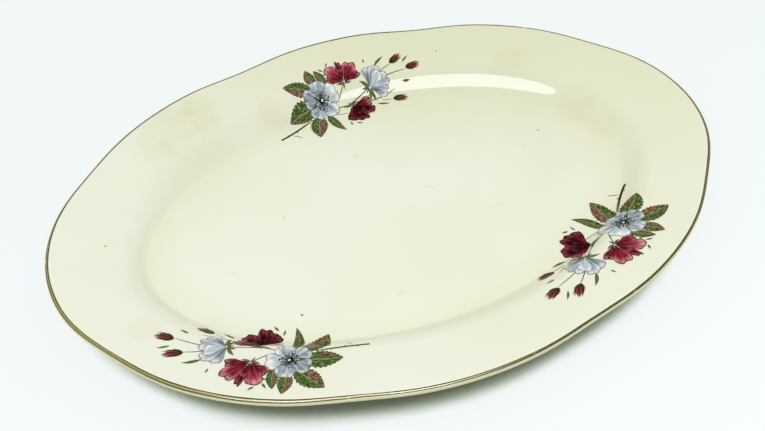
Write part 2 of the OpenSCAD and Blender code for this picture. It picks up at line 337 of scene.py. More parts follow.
def gilt_mesh(material):
    """The gold line over the top and the outside of the lip, its two edges drifting a little."""
    t = np.arange(GILT_SECTIONS) * 360 / GILT_SECTIONS
    inner = gilt_edge(t, *GILT_INNER)
    outer = gilt_edge(t, *GILT_OUTER)
    shares = np.linspace(0, 1, GILT_STEPS)
    rings = []
    for height, steps in ((GILT_T, shares), (0.0, shares[::-1])):
        for q in steps:
            p = skin_point(inner + (outer - inner) * q, height)
            rings.append(place(t, p[:, 0], p[:, 1]))
    faces = hoop_faces(len(rings), GILT_SECTIONS, closed=True)
    obj = new_object("gilt_line", np.concatenate(rings) * MM, faces, material)
    set_attribute(obj, "across", np.repeat(np.concatenate([shares, shares[::-1]]), GILT_SECTIONS))
    # Shares along the line of its stretches of painted highlight, painted shade and rubbed wear
    for name, (middle, spread) in GILT_STRETCHES.items():
        set_attribute(obj, name, np.tile(bell(t, middle, spread), len(rings)))
    return obj


# Place of the prints on the glaze
def locate(p, t, s):
    """Angle and distance from the lip of plan points p, found by steps from a first guess."""
    t = np.full(p.shape[:-1], float(t))
    s = np.full(p.shape[:-1], float(s))
    for _ in range(SEARCH_STEPS):
        q = plan(t, s)
        e = p - q
        along = (plan(t + PROBE, s) - q) / PROBE
        across = (oval(WELL_HALF, t) - lip_point(t)) / EDGE_S
        d = along[..., 0] * across[..., 1] - along[..., 1] * across[..., 0]
        t = t + (e[..., 0] * across[..., 1] - e[..., 1] * across[..., 0]) / d
        s = s + (along[..., 0] * e[..., 1] - along[..., 1] * e[..., 0]) / d
        s = np.clip(s, -SEARCH_MARGIN, EDGE_S)
    return t, s


def glaze_z(p, near):
    """Height of the glaze over plan points p, near that angle."""
    shares = np.abs(p) / WELL_HALF
    reach = (shares[..., 0] ** OVAL_POWER + shares[..., 1] ** OVAL_POWER) ** (1 / OVAL_POWER)
    t, s = locate(p, near, EDGE_S / 2)
    side = upper_z(s) + lip_rise(t) * fade(s)
    return np.where(reach <= 1, WELL_H - dish(reach), side)


def spray_plan(spot, w):
    """Points w of a spray, in shares of its length, set on the plan of the platter."""
    angle, inset, turn = spot
    middle = plan(angle, inset)
    way = plan(angle - PROBE, inset) - middle
    a = np.arctan2(way[1], way[0]) + np.radians(turn)
    spin = np.array([[np.cos(a), np.sin(a)], [-np.sin(a), np.cos(a)]])
    return middle + SPRAY_L * (w @ spin)


# Drawing of a spray, in shares of its length: +x runs to the buds, +y to the lip
class Film:
    """One film of print: a grid of points and the shading values of its material."""

    def __init__(self, grid, along, across, tone, seed, order):
        self.grid = grid
        self.along = np.broadcast_to(along[:, None], grid.shape[:2])
        self.across = np.broadcast_to(across[None, :], grid.shape[:2])
        self.tone = tone
        self.seed = seed
        self.order = order


def bent_line(start, turn, bend, size, u):
    """Points, directions and left sides at shares u of a line that bends evenly."""
    half = np.radians(turn + bend * u / 2)
    head = np.radians(turn + bend * u)
    points = np.asarray(start) + size * u[:, None] * np.stack([np.cos(half), np.sin(half)], -1)
    front = np.stack([np.cos(head), np.sin(head)], -1)
    side = np.stack([-np.sin(head), np.cos(head)], -1)
    return points, front, side


def blade(start, turn, bend, size, width, tone=0.5, seed=0, order=0, rows=24, cols=7):
    """A film along a bent line; width gives its half width, in shares of its length, at shares u."""
    u = (1 - np.cos(np.linspace(0, np.pi, rows))) / 2
    v = np.linspace(-1, 1, cols)
    points, _, side = bent_line(start, turn, bend, size, u)
    reach = size * width(u)
    grid = points[:, None] + v[None, :, None] * (reach[:, None] * side)[:, None]
    return Film(grid, u, v, tone, seed, order)


# Outline of a toothed leaf: powers of its belly, taper, teeth, least half width, and sides swept forward
LEAF_BELLY = (0.8, 0.85)
LEAF_TAPER = 0.22
LEAF_TOOTH = (0.84, 0.2)
LEAF_LEAST = 0.006
LEAF_SWEEP = 0.1
LEAF_COLS = 11
STEPS_A_TOOTH = 6


def leaf(start, turn, bend, size, tone, seed, order, teeth, fullness):
    """A toothed leaf with a drawn-out tip."""
    u = np.linspace(0, 1, teeth * STEPS_A_TOOTH)
    v = np.linspace(-1, 1, LEAF_COLS)
    points, front, side = bent_line(start, turn, bend, size, u)
    body = np.sin(np.pi * u ** LEAF_BELLY[0]) ** LEAF_BELLY[1] * (1 - LEAF_TAPER * u)
    tooth = LEAF_TOOTH[0] + LEAF_TOOTH[1] * np.mod(u * teeth, 1)
    reach = size * (fullness * body * tooth + LEAF_LEAST)
    lead = size * LEAF_SWEEP * body
    grid = (
        points[:, None]
        + v[None, :, None] * (reach[:, None] * side)[:, None]
        + v[None, :, None] ** 2 * (lead[:, None] * front)[:, None]
    )
    return Film(grid, u, v, tone, seed, order)


# Outline of a petal: where it starts, how its corners round off, its notch, ruffles and fan
PETAL_ROWS = 22
PETAL_COLS = 21
PETAL_START = 0.08
PETAL_CORNER = 0.34
PETAL_CORNER_POWER = 3.4
PETAL_NOTCH_WIDTH = 0.16
PETAL_RUFFLES = ((0.035, 4), (0.02, 9))
PETAL_ROOT = 0.42
PETAL_FAN_POWER = 0.8


def petal(centre, turn, size, spread, tone, seed, order, squash, lean, notch):
    """A broad petal that fans out from the bloom's centre, drawn shorter the way the bloom leans."""
    r = np.linspace(PETAL_START, 1, PETAL_ROWS)
    v = np.linspace(-1, 1, PETAL_COLS)
    rng = np.random.default_rng(seed)
    edge = 1 - PETAL_CORNER * np.abs(v) ** PETAL_CORNER_POWER - notch * bell(v, 0, PETAL_NOTCH_WIDTH)
    for ruffle, waves in PETAL_RUFFLES:
        edge += ruffle * np.sin(waves * v + rng.uniform(0, 2 * np.pi))
    fan = PETAL_ROOT + (1 - PETAL_ROOT) * r**PETAL_FAN_POWER
    angle = np.radians(turn + v[None, :] * spread * fan[:, None])
    radius = r[:, None] * size * edge[None, :]
    grid = np.stack([radius * np.cos(angle), radius * np.sin(angle)], -1)
    way = np.array([np.cos(np.radians(lean)), np.sin(np.radians(lean))])
    grid = grid - (1 - squash) * (grid @ way)[..., None] * way
    return Film(np.asarray(centre) + grid, r, v, tone, seed, order)


def round_width(u):
    """Half width of a dot at shares u of its length."""
    least = 0.002
    return np.sqrt(np.maximum(0, 0.25 - (u - 0.5) ** 2)) + least


def dot(centre, size, tone, order):
    start = np.asarray(centre) - [size / 2, 0]
    return blade(start, 0, 0, size, round_width, tone, 0, order, rows=9, cols=5)


def even(share):
    """A half width that stays the same along a line and tapers at its end."""
    tip_share = 0.35
    taper = 4
    return lambda u: share * np.minimum(1, tip_share + taper * (1 - u))


def spindle(share):
    """A half width that swells towards the middle of a line, a little before it."""
    least = 0.001
    belly = 0.8
    return lambda u: share * np.sin(np.pi * np.clip(u, 0.02, 0.995) ** belly) + least


def thorn_width(u):
    base_share = 0.22
    tip_share = 0.01
    return base_share * (1 - u) + tip_share


def stem(start, turn, bend, size, half_width, tone, seed, order=0):
    return blade(start, turn, bend, size, even(half_width / size), tone, seed, order, rows=20, cols=3)


# Centres of the four blooms, and foot and heading of each bud
BLUE_OPEN = np.array([-0.16, 0.045])
CRIMSON_HIGH = np.array([0.015, 0.08])
CRIMSON_LOW = np.array([0.0, -0.035])
BLUE_SIDE = np.array([0.15, 0.0])
BUDS = ((0.335, 0.075, 16), (0.265, -0.1, -24), (0.41, 0.0, -8))

# Blades of each bud, in brown, green and crimson: turn, bend, size, half width, tone, seed and order
BUD_BROWN = (
    (16, -17.6, 0.096, 0.055, 0.45, 12, 9),
    (-16, 17.6, 0.096, 0.055, 0.45, 12, 9),
)
BUD_GREEN = (
    (38, -19, 0.05, 0.12, 0.4, 38, 4),
    (-38, 19, 0.055, 0.12, 0.4, 38, 4),
    (12, -6, 0.035, 0.12, 0.4, 38, 4),
)
BUD_CRIMSON = (
    (0, 6, 0.095, 0.19, 0.3, 61, 0),
    (26, -24, 0.09025, 0.07, 0.15, 64, 1),
    (-26, 24, 0.0855, 0.07, 0.15, 67, 2),
    (6, -6, 0.09975, 0.06, 0.55, 70, 3),
)

# Stems: start, turn, bend, size, half width, tone and seed
STEMS = (
    ((-0.42, -0.1), -36, -20, 0.06, 0.0022, 0.3, 2),
    ((-0.12, 0.0), -16, 22, 0.26, 0.0026, 0.75, 3),
    ((0.0, -0.02), 8, 4, 0.15, 0.0028, 0.7, 4),
    ((-0.06, 0.02), 30, 24, 0.1, 0.0028, 0.7, 9),
    ((0.12, -0.05), -10, 14, 0.18, 0.0026, 0.7, 5),
    ((0.24, 0.045), 20, -10, 0.1, 0.0024, 0.5, 6),
    ((0.24, 0.015), -2, -12, 0.17, 0.0024, 0.55, 7),
    ((0.2, -0.08), -20, 0, 0.06, 0.0024, 0.5, 8),
    ((-0.12, -0.05), -30, 26, 0.13, 0.0022, 0.6, 10),
)
# Twig: start, turn, bend, size and half width; thorns: foot and turn
TWIG = ((-0.5, -0.1), 10, 14, 0.25, even(0.026))
THORNS = (((-0.45, -0.088), 78), ((-0.385, -0.077), -104), ((-0.33, -0.058), 92))
THORN_L = 0.018

# Leaves: start, turn, bend, size, tone, seed, order, teeth and fullness
LEAVES = (
    ((-0.19, 0.09), 142, 14, 0.19, 0.45, 21, 0, 9, 0.3),
    ((-0.165, 0.12), 100, -12, 0.13, 0.62, 22, 1, 9, 0.3),
    ((-0.2, 0.035), 184, 12, 0.2, 0.3, 23, 1, 9, 0.3),
    ((-0.2, -0.01), 238, 18, 0.2, 0.75, 24, 0, 9, 0.3),
    ((-0.1, 0.1), 94, 16, 0.13, 0.35, 26, 0, 7, 0.24),
)
# Narrow leaves: start, turn, bend, size, half width, tone, seed and order
NARROW_LEAVES = (
    ((-0.155, -0.03), 266, 34, 0.19, 0.14, 0.25, 25, 2),
    ((0.24, 0.1), 40, -30, 0.09, 0.1, 0.25, 27, 0),
    ((0.16, -0.09), -40, 24, 0.08, 0.1, 0.3, 28, 0),
    ((0.41, 0.045), 36, -20, 0.06, 0.1, 0.25, 29, 0),
    ((0.36, -0.05), -30, 20, 0.05, 0.12, 0.25, 30, 0),
)
# Dark leaflets: start, turn, size and seed
LEAFLETS = (
    ((-0.075, 0.2), 128, 0.036, 36),
    ((-0.045, 0.225), 40, 0.034, 36),
    ((-0.06, 0.17), 160, 0.03, 36),
    ((-0.06, -0.16), -100, 0.034, 37),
    ((-0.03, -0.185), -40, 0.036, 37),
    ((0.19, 0.15), 80, 0.03, 37),
)
LEAFLET_BEND = 10
LEAFLET_WIDTH = 0.16
LEAFLET_TONE = 0.15
# Sepals: turn, bend and size of each, and the blooms that show them with a first seed
BLUE_SEPALS = ((112, 40, 0.07), (150, 30, 0.045), (-60, -40, 0.07), (-96, -30, 0.06), (200, 10, 0.03))
HIGH_SEPALS = ((186, -30, 0.05), (-24, 30, 0.05), (240, 20, 0.035))
LOW_SEPALS = ((30, -30, 0.05), (150, 30, 0.05), (100, 0, 0.03))
SEPALS = ((BLUE_SIDE, 31, BLUE_SEPALS), (CRIMSON_HIGH, 38, HIGH_SEPALS), (CRIMSON_LOW, 45, LOW_SEPALS))
SEPAL_WIDTH = 0.13
SEPAL_TONE = 0.4
SEPAL_ORDER = 3

# Petals of each bloom, the lowest first: turn, size, spread and tone
CRIMSON_HIGH_PETALS = (
    (82, 0.15, 11, 0.05),
    (146, 0.115, 23, 0.5),
    (16, 0.12, 23, 0.35),
    (114, 0.148, 24, 0.75),
    (49, 0.15, 25, 0.62),
    (84, 0.1, 18, 0.2),
)
CRIMSON_LOW_PETALS = (
    (-108, 0.135, 20, 0.1),
    (-9, 0.135, 20, 0.25),
    (-78, 0.155, 24, -0.2),
    (-40, 0.155, 24, -0.25),
    (-58, 0.1, 28, -0.4),
)
BLUE_OPEN_PETALS = (
    (86, 0.116, 39, 0.5),
    (14, 0.12, 39, 0.95),
    (158, 0.112, 38, 0.35),
    (230, 0.114, 38, 0.55),
    (302, 0.116, 39, 0.8),
)
BLUE_SIDE_PETALS = (
    (74, 0.12, 22, 0.3),
    (-26, 0.12, 22, 0.45),
    (46, 0.138, 24, 0.55),
    (4, 0.138, 24, 0.7),
    (26, 0.115, 24, 0.95),
)

# Heart of the open bloom: stamens, and the dots of its centre and of the anthers
FILAMENTS = 36
FILAMENT_SWAY = 5
FILAMENT_BEND = 14
FILAMENT_L = (0.026, 0.054)
FILAMENT_HALF = 0.0011
ANTHER = (0.005, 0.008)
HEART_SEED = 7
HEART = 0.03
EYE = 0.014
EYE_OFFSET = (0.004, 0.002)


def petals(centre, rows, seed, notch, squash=1.0, lean=0.0):
    """Petals of one bloom, each laid over the one before."""
    films = []
    for k, row in enumerate(rows):
        films.append(petal(centre, *row, seed + k, k, squash, lean, notch))
    return films


def bud_films(table, rows, cols, seed_step=0):
    """The blades of one colour of every bud."""
    films = []
    for k, (x, y, heading) in enumerate(BUDS):
        for turn, bend, size, width, tone, seed, order in table:
            shade = (tone, seed + k * seed_step, order)
            films.append(blade((x, y), heading + turn, bend, size, spindle(width), *shade, rows, cols))
    return films


def twig_films():
    """The brown twig with its thorns, the thin stems of blooms and buds, and the buds' brown tips."""
    films = [blade(*TWIG, tone=0.4, seed=1, rows=30, cols=5)]
    films += [stem(*row) for row in STEMS]
    films += bud_films(BUD_BROWN, 14, 5)
    for foot, turn in THORNS:
        films.append(blade(foot, turn, 0, THORN_L, thorn_width, tone=0.15, seed=11, rows=6, cols=3))
    return films


def leaf_films():
    """Toothed leaves tucked under the open bloom, small dark leaflets, and the green of the blooms."""
    films = [leaf(*row) for row in LEAVES]
    for start, turn, bend, size, width, *shade in NARROW_LEAVES:
        films.append(blade(start, turn, bend, size, spindle(width), *shade))
    for start, turn, size, seed in LEAFLETS:
        shade = (LEAFLET_TONE, seed, 0)
        width = spindle(LEAFLET_WIDTH)
        films.append(blade(start, turn, LEAFLET_BEND, size, width, *shade, rows=10, cols=5))
    films += bud_films(BUD_GREEN, 12, 5)
    for centre, seed, rows in SEPALS:
        for k, (turn, bend, size) in enumerate(rows):
            shade = (SEPAL_TONE, seed + k, SEPAL_ORDER + k)
            films.append(blade(centre, turn, bend, size, spindle(SEPAL_WIDTH), *shade))
    return films


def crimson_films():
    """A bloom seen from the side towards the lip, a dark one over the well, and three buds."""
    high = petals(CRIMSON_HIGH, CRIMSON_HIGH_PETALS, seed=41, notch=0.03)
    low = petals(CRIMSON_LOW, CRIMSON_LOW_PETALS, seed=51, notch=0.03)
    return high + low + bud_films(BUD_CRIMSON, 24, 7, seed_step=1)


def blue_films():
    """An open bloom that leans a little, and one seen from the side."""
    open_bloom = petals(BLUE_OPEN, BLUE_OPEN_PETALS, seed=71, notch=0.05, squash=0.96, lean=80)
    return open_bloom + petals(BLUE_SIDE, BLUE_SIDE_PETALS, seed=81, notch=0.04)


def heart_films():
    """Dark heart, stamens and anthers, with a pale eye, on the open blue bloom."""
    dark = 0.1
    pale = 2.0
    films = [dot(BLUE_OPEN, HEART, dark, 0)]
    rng = np.random.default_rng(HEART_SEED)
    for k in range(FILAMENTS):
        turn = 360 / FILAMENTS * k + rng.uniform(-FILAMENT_SWAY, FILAMENT_SWAY)
        size = rng.uniform(*FILAMENT_L)
        bend = rng.uniform(-FILAMENT_BEND, FILAMENT_BEND)
        films.append(stem(BLUE_OPEN, turn, bend, size, FILAMENT_HALF, 0.15, k, 1))
        a = np.radians(turn)
        tip = BLUE_OPEN + size * np.array([np.cos(a), np.sin(a)])
        films.append(dot(tip, rng.uniform(*ANTHER), dark, 2))
    films.append(dot(BLUE_OPEN + EYE_OFFSET, EYE, pale, 3))
    return films


def film_faces(n, m, start):
    """Faces of a closed film of n by m points: its upper skin, the lower one after it, and its edges."""
    size = n * m
    i, j = np.meshgrid(np.arange(n - 1), np.arange(m - 1), indexing="ij")
    k = (i * m + j).ravel()
    top = start + np.stack([k, k + m, k + m + 1, k + 1], -1)
    first_row = np.arange(m)
    last_column = np.arange(1, n) * m + m - 1
    last_row = (n - 1) * m + np.arange(m - 2, -1, -1)
    first_column = np.arange(n - 2, 0, -1) * m
    rim = start + np.concatenate([first_row, last_column, last_row, first_column])
    after = np.roll(rim, -1)
    skirt = np.stack([rim, after, after + size, rim + size], -1)
    return np.concatenate([top, top[:, ::-1] + size, skirt]).tolist()


def print_object(name, node, spot, films, layer, material):
    """All the films of one colour of a spray, laid on the glaze as thin closed skins."""
    grids = [spray_plan(spot, f.grid.reshape(-1, 2)) for f in films]
    heights = glaze_z(np.concatenate(grids), spot[0])
    vertices = []
    faces = []
    values = {"along": [], "across": [], "tone": [], "seed": []}
    start = 0
    for f, p in zip(films, grids):
        n, m = f.grid.shape[:2]
        z = heights[start : start + n * m]
        faces += film_faces(n, m, 2 * start)
        start += n * m
        lift = PRINT_LIFT + layer + f.order * FILM_PITCH
        for height in (lift + FILM_T, lift):
            vertices.append(np.column_stack([p, z + height]))
            values["along"].append(f.along.ravel())
            values["across"].append(f.across.ravel())
            values["tone"].append(np.full(n * m, f.tone))
            values["seed"].append(np.full(n * m, float(f.seed)))
    obj = new_object(name, np.concatenate(vertices) * MM, faces, material)
    for key, parts in values.items():
        set_attribute(obj, key, np.concatenate(parts))
    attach(obj, "root")
    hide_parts(node)
    return obj


# Materials
def linear(code):
    """A colour written as a web code, as linear values."""
    parts = np.array([int(code[k : k + 2], 16) for k in (1, 3, 5)]) / 255
    values = np.where(parts <= 0.04045, parts / 12.92, ((parts + 0.055) / 1.055) ** 2.4)
    return (*values.tolist(), 1.0)


class Tree:
    """The node tree of a material or world, with short ways to add and link nodes."""

    def __init__(self, owner):
        owner.use_nodes = True
        self.owner = owner
        self.nodes = owner.node_tree.nodes
        self.links = owner.node_tree.links

    def plug(self, value, socket):
        if isinstance(value, bpy.types.NodeSocket):
            self.links.new(value, socket)
        else:
            socket.default_value = value

    def set(self, **inputs):
        """Give inputs of the material's shader a value or a link."""
        for name, value in inputs.items():
            self.plug(value, self.nodes["Principled BSDF"].inputs[name.replace("_", " ")])

    def math(self, operation, a, b=0.0):
        node = self.nodes.new("ShaderNodeMath")
        node.operation = operation
        self.plug(a, node.inputs[0])
        self.plug(b, node.inputs[1])
        return node.outputs[0]

    def plus(self, a, b):
        return self.math("ADD", a, b)

    def minus(self, a, b):
        return self.math("SUBTRACT", a, b)

    def times(self, a, b):
        return self.math("MULTIPLY", a, b)

    def larger(self, a, b):
        return self.math("MAXIMUM", a, b)

    def distance(self, a, b=0.0):
        """How far one value is from another, without its sign."""
        return self.math("ABSOLUTE", self.minus(a, b))

    def value(self, name):
        node = self.nodes.new("ShaderNodeAttribute")
        node.attribute_name = name
        return node.outputs["Fac"]

    def texture_place(self, kind):
        return self.nodes.new("ShaderNodeTexCoord").outputs[kind]

    def parts(self, vector):
        node = self.nodes.new("ShaderNodeSeparateXYZ")
        self.links.new(vector, node.inputs[0])
        return node.outputs[:3]

    def vector(self, x, y, z=0.0):
        node = self.nodes.new("ShaderNodeCombineXYZ")
        for value, socket in zip((x, y, z), node.inputs):
            self.plug(value, socket)
        return node.outputs[0]

    def near(self, vector, x, y, reach, breadth, turn=0.0):
        """1 at a place in millimetres, falling to 0 at that reach along turn and breadth across it."""
        core = 0.3
        local = self.nodes.new("ShaderNodeMapping")
        local.vector_type = "TEXTURE"
        self.links.new(vector, local.inputs["Vector"])
        local.inputs["Location"].default_value = (x * MM, y * MM, 0.0)
        local.inputs["Rotation"].default_value = (0.0, 0.0, np.radians(turn))
        local.inputs["Scale"].default_value = (reach * MM, breadth * MM, 1.0)
        node = self.nodes.new("ShaderNodeVectorMath")
        node.operation = "LENGTH"
        self.links.new(local.outputs[0], node.inputs[0])
        return self.smooth(node.outputs["Value"], core, 1.0, 1.0, 0.0)

    def noise(self, vector, scale, detail=2.0, roughness=0.5):
        node = self.nodes.new("ShaderNodeTexNoise")
        self.links.new(vector, node.inputs["Vector"])
        node.inputs["Scale"].default_value = scale
        node.inputs["Detail"].default_value = detail
        node.inputs["Roughness"].default_value = roughness
        return node.outputs["Fac"]

    def smooth(self, value, low, high, start=0.0, end=1.0, kind="SMOOTHSTEP"):
        """From start, where a value is at low, to end, where it is at high."""
        node = self.nodes.new("ShaderNodeMapRange")
        node.interpolation_type = kind
        for socket, number in zip(node.inputs[:5], (value, low, high, start, end)):
            self.plug(number, socket)
        return node.outputs[0]

    def band(self, value, start, full, fading, end):
        """1 while a value in millimetres is between full and fading, and 0 outside start and end."""
        rise = self.smooth(value, start * MM, full * MM)
        return self.times(rise, self.smooth(value, fading * MM, end * MM, 1.0, 0.0))

    def mix(self, share, a, b):
        """Colours a and b, each a socket or a web code, mixed by the share of b."""
        node = self.nodes.new("ShaderNodeMix")
        node.data_type = "RGBA"
        self.plug(share, node.inputs["Factor"])
        for colour, socket in zip((a, b), node.inputs[6:8]):
            self.plug(linear(colour) if isinstance(colour, str) else colour, socket)
        return node.outputs[2]

    def ramp(self, value, stops):
        node = self.nodes.new("ShaderNodeValToRGB")
        elements = node.color_ramp.elements
        while len(elements) < len(stops):
            elements.new(0.5)
        for element, (where, code) in zip(elements, stops):
            element.position = where
            element.color = linear(code)
        self.plug(value, node.inputs[0])
        return node.outputs[0]

    def bump(self, height, strength, distance):
        node = self.nodes.new("ShaderNodeBump")
        node.inputs["Strength"].default_value = strength
        node.inputs["Distance"].default_value = distance
        self.plug(height, node.inputs["Height"])
        return node.outputs[0]

    def openness(self, reach):
        """1 in the open, and less where something stands within that distance over the surface."""
        node = self.nodes.new("ShaderNodeAmbientOcclusion")
        node.samples = 32
        node.inputs["Distance"].default_value = reach
        return node.outputs["AO"]

    def direct_rays(self):
        """1 for rays that show the surface, straight or in gloss or glass, and 0 for its light."""
        path = self.nodes.new("ShaderNodeLightPath").outputs
        seen = self.larger(path["Is Camera Ray"], path["Is Glossy Ray"])
        return self.larger(seen, path["Is Transmission Ray"])

    def see_through_from_below(self):
        """Back faces let the view through and the sky's light passes, which shows the underside."""
        path = self.nodes.new("ShaderNodeLightPath").outputs
        passed = self.larger(path["Is Diffuse Ray"], path["Is Shadow Ray"])
        clear_share = self.larger(passed, self.nodes.new("ShaderNodeNewGeometry").outputs["Backfacing"])
        shader = self.nodes["Principled BSDF"].outputs[0]
        clear = self.nodes.new("ShaderNodeBsdfTransparent").outputs[0]
        mix = self.nodes.new("ShaderNodeMixShader")
        for value, socket in zip((clear_share, shader, clear), mix.inputs):
            self.links.new(value, socket)
        self.links.new(mix.outputs[0], self.nodes["Material Output"].inputs["Surface"])


# Each span below is a low and a high value and, where it has four, what is taken at each of them
# Tints of the glaze, heights in millimetres of its band of painted light and of its crease of painted
# shade, and shares of the tints
GLAZE_PALE = "#edf0d9"
GLAZE_WARM = "#eaecd0"
# Painted shade: the glaze tint towards the back
GLAZE_FAR_SHADE = "#dcdeb0"
# Painted light on the curved side
GLAZE_PAINTED_LIGHT = "#fbfcea"
# Painted shade in the crease at the well's edge
GLAZE_CREASE_SHADE = "#e3e3b2"
GLAZE_LIP = "#e9e7b6"
BARE_CLAY = "#cfc0a0"
PAINTED_LIGHT_BAND = (9.5, 13, 17, 20.5)
CREASE_SHADE_BAND = (7.45, 7.6, 8.0, 10.0)
FAR_SHADE_SHARE = 0.6
FAR_SHADE_SKEW = 0.5
FAR_SHADE_SPAN = (0.0, 0.15)
PAINTED_LIGHT_SIDE_SPAN = (-0.17, -0.02, 0.55, 0.0)
CREASE_SHADE_SHARE = 0.2
LIP_SPAN = (0.2, 0.7)
BARE_SPAN = (0.0002, 0.0005, 1.0, 0.0)
GLAZE_GLOSS = 0.045
BARE_GLOSS = 0.75
# Noise of the glaze: cells a metre, detail and roughness
GLAZE_DRIFT = (9.0, 3.0)
GLAZE_DRIFT_SPAN = (0.35, 0.7)
GLAZE_BLOTCH = (90.0, 4.0, 0.6)
STAIN_SPAN = (0.3, 0.7, 0.1, 0.36)
ORANGE_PEEL = (420.0, 2.0)
ORANGE_PEEL_SHARE = 0.012
SWELL = (16.0, 2.0)
GLAZE_BUMP = (0.25, 0.0006)

# Age marks in the glaze, in millimetres: place, reach and tint
STAINS = (
    (127, 27, 15, "#dfcf9c"),
    (134, 8, 12, "#e2d2a6"),
    (-47, 88, 11, "#e6cfa8"),
    (-40, 79, 8, "#e3cda2"),
    (118, -52, 9, "#ddd0a0"),
    (4, 117, 12, "#e6d4b4"),
    (103, 72, 15, "#dcd4a4"),
    (-88, 92, 17, "#d9d39a"),
    (-104, 86, 36, "#d8d6a2"),
    (-137, -47, 10, "#e4d9b4"),
)
# Scratches: place, reach and turn
SCRATCHES = (
    (-16.2, -60.3, 4.5, 20),
    (23.3, 1.7, 3.5, -35),
    (-58.0, 10.0, 5.0, 62),
    (52.0, -24.0, 3.0, 8),
    (86.0, 12.0, 4.0, -58),
    (-92.0, -18.0, 3.5, -12),
)
SCRATCH_BREADTH = 0.35
SCRATCH_SHARE = 0.4
SCRATCH_TINT = "#a8a888"
# Specks: place and reach
SPECKS = (
    (-65.6, -55.4, 0.9),
    (98.7, 20.9, 0.7),
    (64, 96, 0.6),
    (-150, 12, 0.6),
    (31, -88, 0.5),
    (-8, 41, 0.5),
)
SPECK_TINT = "#6b5238"


def glaze_material():
    """Cream lead glaze: warm drifts of tint, stains, specks and scratches, and a bare foot ring, with
    painted shade towards the back and in the crease at the well, and painted light on the left of the
    curved side.
    """
    tree = Tree(bpy.data.materials.new("cream_glaze"))
    place_node = tree.texture_place("Object")
    x, y, z = tree.parts(place_node)
    drift = tree.smooth(tree.noise(place_node, *GLAZE_DRIFT), *GLAZE_DRIFT_SPAN)
    blotch = tree.smooth(tree.noise(place_node, *GLAZE_BLOTCH), *STAIN_SPAN)
    colour = tree.mix(drift, GLAZE_PALE, GLAZE_WARM)
    # Painted shade: the glaze turns darker and yellower towards the back, leaning to the right
    far_shade = tree.smooth(tree.plus(y, tree.times(x, FAR_SHADE_SKEW)), *FAR_SHADE_SPAN)
    colour = tree.mix(tree.times(far_shade, FAR_SHADE_SHARE), colour, GLAZE_FAR_SHADE)
    # Painted light: a lighter band over the curved side, on the left only, where that side lies in shade
    painted_light = tree.times(tree.band(z, *PAINTED_LIGHT_BAND), tree.smooth(tree.plus(x, y), *PAINTED_LIGHT_SIDE_SPAN))
    colour = tree.mix(painted_light, colour, GLAZE_PAINTED_LIGHT)
    # Painted shade: a darker ring in the crease where the curved side meets the well floor
    colour = tree.mix(tree.times(tree.band(z, *CREASE_SHADE_BAND), CREASE_SHADE_SHARE), colour, GLAZE_CREASE_SHADE)
    plan_place = tree.vector(x, y)
    for stain_x, stain_y, reach, tint in STAINS:
        stain = tree.near(plan_place, stain_x, stain_y, reach, reach)
        colour = tree.mix(tree.times(stain, blotch), colour, tint)
    for speck_x, speck_y, reach in SPECKS:
        colour = tree.mix(tree.near(plan_place, speck_x, speck_y, reach, reach), colour, SPECK_TINT)
    for scratch_x, scratch_y, reach, turn in SCRATCHES:
        scratch = tree.near(plan_place, scratch_x, scratch_y, reach, SCRATCH_BREADTH, turn)
        colour = tree.mix(tree.times(scratch, SCRATCH_SHARE), colour, SCRATCH_TINT)
    colour = tree.mix(tree.smooth(tree.value("outward"), *LIP_SPAN), colour, GLAZE_LIP)
    bare = tree.smooth(z, *BARE_SPAN)
    colour = tree.mix(bare, colour, BARE_CLAY)
    orange_peel = tree.times(tree.noise(place_node, *ORANGE_PEEL), ORANGE_PEEL_SHARE)
    height = tree.plus(orange_peel, tree.noise(place_node, *SWELL))
    roughness = tree.smooth(bare, 0, 1, GLAZE_GLOSS, BARE_GLOSS)
    tree.set(Base_Color=colour, Roughness=roughness, Normal=tree.bump(height, *GLAZE_BUMP))
    return tree.owner


# Gold: colours across the line from its inner edge, painted as dark and bright stripes of reflection,
# tints and shares of its stretches of painted highlight and painted shade, and its noise
GILT_REFLECTION_STOPS = (
    (0.06, "#141208"),
    (0.24, "#474118"),
    (0.44, "#cdc482"),
    (0.6, "#625a24"),
    (0.76, "#1e1b09"),
    (0.96, "#9c9144"),
)
GILT_STREAK = "#464017"
# Painted highlight and painted shade of two stretches of the gold
GILT_PAINTED_HIGHLIGHT = "#bfb67a"
GILT_PAINTED_HIGHLIGHT_SHARE = 0.35
GILT_PAINTED_SHADE = "#565127"
GILT_PAINTED_SHADE_SHARE = 0.8
GILT_WORN_AND_SHEEN = "#ebe5c8"
GILT_PATCHES = (60.0, 3.0)
GILT_PATCH_SHARE = 0.5
GILT_PATCH_GLOSS = (0.3, 0.7, 0.2, 0.36)
GILT_STREAKS = (700.0, 3.0)
GILT_STREAK_SPAN = (0.4, 0.7, 0, 0.35)
GILT_GAPS = (230.0, 4.0, 0.6)
GILT_GAP_SPAN = (0.68, 0.72, 0.0, 0.8)
GILT_RUBBED_SHEEN_SPAN = (0.12, 0.2, 1.0, 0.0)


